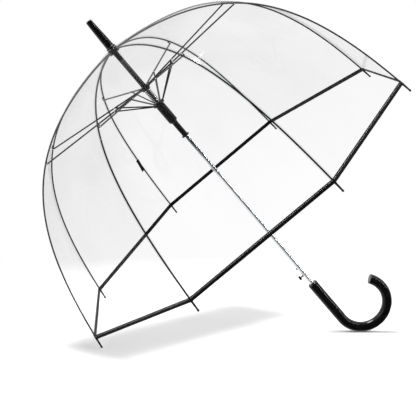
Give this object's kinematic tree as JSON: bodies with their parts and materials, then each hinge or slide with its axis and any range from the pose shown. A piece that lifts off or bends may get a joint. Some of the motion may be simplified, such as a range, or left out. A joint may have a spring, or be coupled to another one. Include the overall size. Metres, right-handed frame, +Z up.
{
  "type": "umbrella",
  "caption": "Clear dome umbrella: film canopy on hinged ribs, sprung runner on a chromed shaft with catch and push button, and a black crook handle.",
  "frame": {"origin": "on the shaft's axis at the middle of the handle's straight grip, where a hand holds it", "axes": "+Z up the shaft towards the ferrule, +X the way the crook bends"},
  "size_m": [0.7968, 0.7968, 0.9114],
  "materials": {
    "black_gloss_plastic": "high gloss black",
    "black_fitting_plastic": "satin black moulded",
    "chromed_steel": "bright chrome",
    "black_spring_steel": "blackened",
    "black_rib_rod": "black fibreglass rod",
    "black_coated_steel": "black paint",
    "clear_film": "clear glossy film",
    "black_tape": "woven tape"
  },
  "bodies": {
    "stick": {"shaft": "chromed_steel", "crown": "black_fitting_plastic", "spacer_tube": "black_fitting_plastic", "ferrule": "black_gloss_plastic", "handle": "black_gloss_plastic", "latch_spring": "black_spring_steel"},
    "runner": {"runner": "black_fitting_plastic", "main_spring": "black_spring_steel"},
    "upper_slider": {"upper_slider": "black_fitting_plastic"},
    "push_button": {"push_button": "black_gloss_plastic"},
    "bottom_catch": {"bottom_catch": "black_spring_steel"},
    "rib_upper_1": {"rib_upper_1": "black_rib_rod", "film_upper_1": "clear_film"},
    "rib_lower_1": {"rib_lower_1": "black_rib_rod", "film_lower_1": "clear_film"},
    "arm_1": {"arm_1": "black_coated_steel"},
    "strut_1": {"strut_1": "black_coated_steel"},
    "rib_upper_2": {"rib_upper_2": "black_rib_rod", "film_upper_2": "clear_film"},
    "rib_lower_2": {"rib_lower_2": "black_rib_rod", "film_lower_2": "clear_film"},
    "arm_2": {"arm_2": "black_coated_steel"},
    "strut_2": {"strut_2": "black_coated_steel"},
    "rib_upper_3": {"rib_upper_3": "black_rib_rod", "film_upper_3": "clear_film"},
    "rib_lower_3": {"rib_lower_3": "black_rib_rod", "film_lower_3": "clear_film", "tie_strap": "black_tape"},
    "arm_3": {"arm_3": "black_coated_steel"},
    "strut_3": {"strut_3": "black_coated_steel"},
    "rib_upper_4": {"rib_upper_4": "black_rib_rod", "film_upper_4": "clear_film"},
    "rib_lower_4": {"rib_lower_4": "black_rib_rod", "film_lower_4": "clear_film"},
    "arm_4": {"arm_4": "black_coated_steel"},
    "strut_4": {"strut_4": "black_coated_steel"},
    "rib_upper_5": {"rib_upper_5": "black_rib_rod", "film_upper_5": "clear_film"},
    "rib_lower_5": {"rib_lower_5": "black_rib_rod", "film_lower_5": "clear_film"},
    "arm_5": {"arm_5": "black_coated_steel"},
    "strut_5": {"strut_5": "black_coated_steel"},
    "rib_upper_6": {"rib_upper_6": "black_rib_rod", "film_upper_6": "clear_film"},
    "rib_lower_6": {"rib_lower_6": "black_rib_rod", "film_lower_6": "clear_film"},
    "arm_6": {"arm_6": "black_coated_steel"},
    "strut_6": {"strut_6": "black_coated_steel"},
    "rib_upper_7": {"rib_upper_7": "black_rib_rod", "film_upper_7": "clear_film"},
    "rib_lower_7": {"rib_lower_7": "black_rib_rod", "film_lower_7": "clear_film"},
    "arm_7": {"arm_7": "black_coated_steel"},
    "strut_7": {"strut_7": "black_coated_steel"},
    "rib_upper_8": {"rib_upper_8": "black_rib_rod", "film_upper_8": "clear_film"},
    "rib_lower_8": {"rib_lower_8": "black_rib_rod", "film_lower_8": "clear_film"},
    "arm_8": {"arm_8": "black_coated_steel"},
    "strut_8": {"strut_8": "black_coated_steel"}
  },
  "joints": [
    {"name": "runner_slide", "type": "slide", "parent": "stick", "child": "runner", "axis": [0, 0, 1], "range_m": [-0.3887, 0], "stiffness_N_per_m": 60, "springref_m": 0.3},
    {"name": "slider_slide", "type": "slide", "parent": "runner", "child": "upper_slider", "axis": [0, 0, 1], "range_m": [-0.0291, 0], "deforming": ["main_spring"]},
    {"name": "button_press", "type": "slide", "parent": "stick", "child": "push_button", "axis": [1, 0, 0], "range_m": [0, 0.0035], "stiffness_N_per_m": 150, "springref_m": -0.002, "deforming": ["latch_spring"]},
    {"name": "catch_retract", "type": "slide", "parent": "stick", "child": "bottom_catch", "axis": [1, 0, 0], "range_m": [0, 0.0035]},
    {"name": "rib_fold_1", "type": "hinge", "parent": "stick", "child": "rib_upper_1", "pos_m": [0.0085, 0.00352, 0.71341], "axis": [-0.3827, 0.9239, 0], "range_deg": [0, 69.93], "deforming": ["film_upper_1"]},
    {"name": "rib_bend_1", "type": "hinge", "parent": "rib_upper_1", "child": "rib_lower_1", "pos_m": [0.24344, 0.10084, 0.63446], "axis": [-0.3827, 0.9239, 0], "range_deg": [-44.61, 0], "deforming": ["film_lower_1"]},
    {"name": "arm_swing_1", "type": "hinge", "parent": "upper_slider", "child": "arm_1", "pos_m": [0.01063, 0.0044, 0.61441], "axis": [-0.3827, 0.9239, 0], "range_deg": [-83.72, 0]},
    {"name": "strut_swing_1", "type": "hinge", "parent": "runner", "child": "strut_1", "pos_m": [0.01063, 0.0044, 0.57041], "axis": [-0.3827, 0.9239, 0], "range_deg": [-54.31, 0]},
    {"name": "rib_fold_2", "type": "hinge", "parent": "stick", "child": "rib_upper_2", "pos_m": [0.00352, 0.0085, 0.71341], "axis": [-0.9239, 0.3827, 0], "range_deg": [0, 69.93], "deforming": ["film_upper_2"]},
    {"name": "rib_bend_2", "type": "hinge", "parent": "rib_upper_2", "child": "rib_lower_2", "pos_m": [0.10084, 0.24344, 0.63446], "axis": [-0.9239, 0.3827, 0], "range_deg": [-44.61, 0], "deforming": ["film_lower_2"]},
    {"name": "arm_swing_2", "type": "hinge", "parent": "upper_slider", "child": "arm_2", "pos_m": [0.0044, 0.01063, 0.61441], "axis": [-0.9239, 0.3827, 0], "range_deg": [-83.72, 0]},
    {"name": "strut_swing_2", "type": "hinge", "parent": "runner", "child": "strut_2", "pos_m": [0.0044, 0.01063, 0.57041], "axis": [-0.9239, 0.3827, 0], "range_deg": [-54.31, 0]},
    {"name": "rib_fold_3", "type": "hinge", "parent": "stick", "child": "rib_upper_3", "pos_m": [-0.00352, 0.0085, 0.71341], "axis": [-0.9239, -0.3827, 0], "range_deg": [0, 69.93], "deforming": ["film_upper_3"]},
    {"name": "rib_bend_3", "type": "hinge", "parent": "rib_upper_3", "child": "rib_lower_3", "pos_m": [-0.10084, 0.24344, 0.63446], "axis": [-0.9239, -0.3827, 0], "range_deg": [-44.61, 0], "deforming": ["film_lower_3"]},
    {"name": "arm_swing_3", "type": "hinge", "parent": "upper_slider", "child": "arm_3", "pos_m": [-0.0044, 0.01063, 0.61441], "axis": [-0.9239, -0.3827, 0], "range_deg": [-83.72, 0]},
    {"name": "strut_swing_3", "type": "hinge", "parent": "runner", "child": "strut_3", "pos_m": [-0.0044, 0.01063, 0.57041], "axis": [-0.9239, -0.3827, 0], "range_deg": [-54.31, 0]},
    {"name": "rib_fold_4", "type": "hinge", "parent": "stick", "child": "rib_upper_4", "pos_m": [-0.0085, 0.00352, 0.71341], "axis": [-0.3827, -0.9239, 0], "range_deg": [0, 69.93], "deforming": ["film_upper_4"]},
    {"name": "rib_bend_4", "type": "hinge", "parent": "rib_upper_4", "child": "rib_lower_4", "pos_m": [-0.24344, 0.10084, 0.63446], "axis": [-0.3827, -0.9239, 0], "range_deg": [-44.61, 0], "deforming": ["film_lower_4"]},
    {"name": "arm_swing_4", "type": "hinge", "parent": "upper_slider", "child": "arm_4", "pos_m": [-0.01063, 0.0044, 0.61441], "axis": [-0.3827, -0.9239, 0], "range_deg": [-83.72, 0]},
    {"name": "strut_swing_4", "type": "hinge", "parent": "runner", "child": "strut_4", "pos_m": [-0.01063, 0.0044, 0.57041], "axis": [-0.3827, -0.9239, 0], "range_deg": [-54.31, 0]},
    {"name": "rib_fold_5", "type": "hinge", "parent": "stick", "child": "rib_upper_5", "pos_m": [-0.0085, -0.00352, 0.71341], "axis": [0.3827, -0.9239, 0], "range_deg": [0, 69.93], "deforming": ["film_upper_5"]},
    {"name": "rib_bend_5", "type": "hinge", "parent": "rib_upper_5", "child": "rib_lower_5", "pos_m": [-0.24344, -0.10084, 0.63446], "axis": [0.3827, -0.9239, 0], "range_deg": [-44.61, 0], "deforming": ["film_lower_5"]},
    {"name": "arm_swing_5", "type": "hinge", "parent": "upper_slider", "child": "arm_5", "pos_m": [-0.01063, -0.0044, 0.61441], "axis": [0.3827, -0.9239, 0], "range_deg": [-83.72, 0]},
    {"name": "strut_swing_5", "type": "hinge", "parent": "runner", "child": "strut_5", "pos_m": [-0.01063, -0.0044, 0.57041], "axis": [0.3827, -0.9239, 0], "range_deg": [-54.31, 0]},
    {"name": "rib_fold_6", "type": "hinge", "parent": "stick", "child": "rib_upper_6", "pos_m": [-0.00352, -0.0085, 0.71341], "axis": [0.9239, -0.3827, 0], "range_deg": [0, 69.93], "deforming": ["film_upper_6"]},
    {"name": "rib_bend_6", "type": "hinge", "parent": "rib_upper_6", "child": "rib_lower_6", "pos_m": [-0.10084, -0.24344, 0.63446], "axis": [0.9239, -0.3827, 0], "range_deg": [-44.61, 0], "deforming": ["film_lower_6"]},
    {"name": "arm_swing_6", "type": "hinge", "parent": "upper_slider", "child": "arm_6", "pos_m": [-0.0044, -0.01063, 0.61441], "axis": [0.9239, -0.3827, 0], "range_deg": [-83.72, 0]},
    {"name": "strut_swing_6", "type": "hinge", "parent": "runner", "child": "strut_6", "pos_m": [-0.0044, -0.01063, 0.57041], "axis": [0.9239, -0.3827, 0], "range_deg": [-54.31, 0]},
    {"name": "rib_fold_7", "type": "hinge", "parent": "stick", "child": "rib_upper_7", "pos_m": [0.00352, -0.0085, 0.71341], "axis": [0.9239, 0.3827, 0], "range_deg": [0, 69.93], "deforming": ["film_upper_7"]},
    {"name": "rib_bend_7", "type": "hinge", "parent": "rib_upper_7", "child": "rib_lower_7", "pos_m": [0.10084, -0.24344, 0.63446], "axis": [0.9239, 0.3827, 0], "range_deg": [-44.61, 0], "deforming": ["film_lower_7"]},
    {"name": "arm_swing_7", "type": "hinge", "parent": "upper_slider", "child": "arm_7", "pos_m": [0.0044, -0.01063, 0.61441], "axis": [0.9239, 0.3827, 0], "range_deg": [-83.72, 0]},
    {"name": "strut_swing_7", "type": "hinge", "parent": "runner", "child": "strut_7", "pos_m": [0.0044, -0.01063, 0.57041], "axis": [0.9239, 0.3827, 0], "range_deg": [-54.31, 0]},
    {"name": "rib_fold_8", "type": "hinge", "parent": "stick", "child": "rib_upper_8", "pos_m": [0.0085, -0.00352, 0.71341], "axis": [0.3827, 0.9239, 0], "range_deg": [0, 69.93], "deforming": ["film_upper_8"]},
    {"name": "rib_bend_8", "type": "hinge", "parent": "rib_upper_8", "child": "rib_lower_8", "pos_m": [0.24344, -0.10084, 0.63446], "axis": [0.3827, 0.9239, 0], "range_deg": [-44.61, 0], "deforming": ["film_lower_8"]},
    {"name": "arm_swing_8", "type": "hinge", "parent": "upper_slider", "child": "arm_8", "pos_m": [0.01063, -0.0044, 0.61441], "axis": [0.3827, 0.9239, 0], "range_deg": [-83.72, 0]},
    {"name": "strut_swing_8", "type": "hinge", "parent": "runner", "child": "strut_8", "pos_m": [0.01063, -0.0044, 0.57041], "axis": [0.3827, 0.9239, 0], "range_deg": [-54.31, 0]}
  ],
  "couplings": [
    {"joint": "catch_retract", "follows": "button_press", "ratio": 1},
    {"joint": "slider_slide", "follows": "runner_slide", "ratio": 0.074842},
    {"joint": "rib_fold_1", "follows": "runner_slide", "rad_per_m": -3.1398},
    {"joint": "rib_bend_1", "follows": "runner_slide", "rad_per_m": 2.0029},
    {"joint": "arm_swing_1", "follows": "runner_slide", "rad_per_m": 3.7594},
    {"joint": "strut_swing_1", "follows": "runner_slide", "rad_per_m": 2.4386},
    {"joint": "rib_fold_2", "follows": "runner_slide", "rad_per_m": -3.1398},
    {"joint": "rib_bend_2", "follows": "runner_slide", "rad_per_m": 2.0029},
    {"joint": "arm_swing_2", "follows": "runner_slide", "rad_per_m": 3.7594},
    {"joint": "strut_swing_2", "follows": "runner_slide", "rad_per_m": 2.4386},
    {"joint": "rib_fold_3", "follows": "runner_slide", "rad_per_m": -3.1398},
    {"joint": "rib_bend_3", "follows": "runner_slide", "rad_per_m": 2.0029},
    {"joint": "arm_swing_3", "follows": "runner_slide", "rad_per_m": 3.7594},
    {"joint": "strut_swing_3", "follows": "runner_slide", "rad_per_m": 2.4386},
    {"joint": "rib_fold_4", "follows": "runner_slide", "rad_per_m": -3.1398},
    {"joint": "rib_bend_4", "follows": "runner_slide", "rad_per_m": 2.0029},
    {"joint": "arm_swing_4", "follows": "runner_slide", "rad_per_m": 3.7594},
    {"joint": "strut_swing_4", "follows": "runner_slide", "rad_per_m": 2.4386},
    {"joint": "rib_fold_5", "follows": "runner_slide", "rad_per_m": -3.1398},
    {"joint": "rib_bend_5", "follows": "runner_slide", "rad_per_m": 2.0029},
    {"joint": "arm_swing_5", "follows": "runner_slide", "rad_per_m": 3.7594},
    {"joint": "strut_swing_5", "follows": "runner_slide", "rad_per_m": 2.4386},
    {"joint": "rib_fold_6", "follows": "runner_slide", "rad_per_m": -3.1398},
    {"joint": "rib_bend_6", "follows": "runner_slide", "rad_per_m": 2.0029},
    {"joint": "arm_swing_6", "follows": "runner_slide", "rad_per_m": 3.7594},
    {"joint": "strut_swing_6", "follows": "runner_slide", "rad_per_m": 2.4386},
    {"joint": "rib_fold_7", "follows": "runner_slide", "rad_per_m": -3.1398},
    {"joint": "rib_bend_7", "follows": "runner_slide", "rad_per_m": 2.0029},
    {"joint": "arm_swing_7", "follows": "runner_slide", "rad_per_m": 3.7594},
    {"joint": "strut_swing_7", "follows": "runner_slide", "rad_per_m": 2.4386},
    {"joint": "rib_fold_8", "follows": "runner_slide", "rad_per_m": -3.1398},
    {"joint": "rib_bend_8", "follows": "runner_slide", "rad_per_m": 2.0029},
    {"joint": "arm_swing_8", "follows": "runner_slide", "rad_per_m": 3.7594},
    {"joint": "strut_swing_8", "follows": "runner_slide", "rad_per_m": 2.4386}
  ]
}
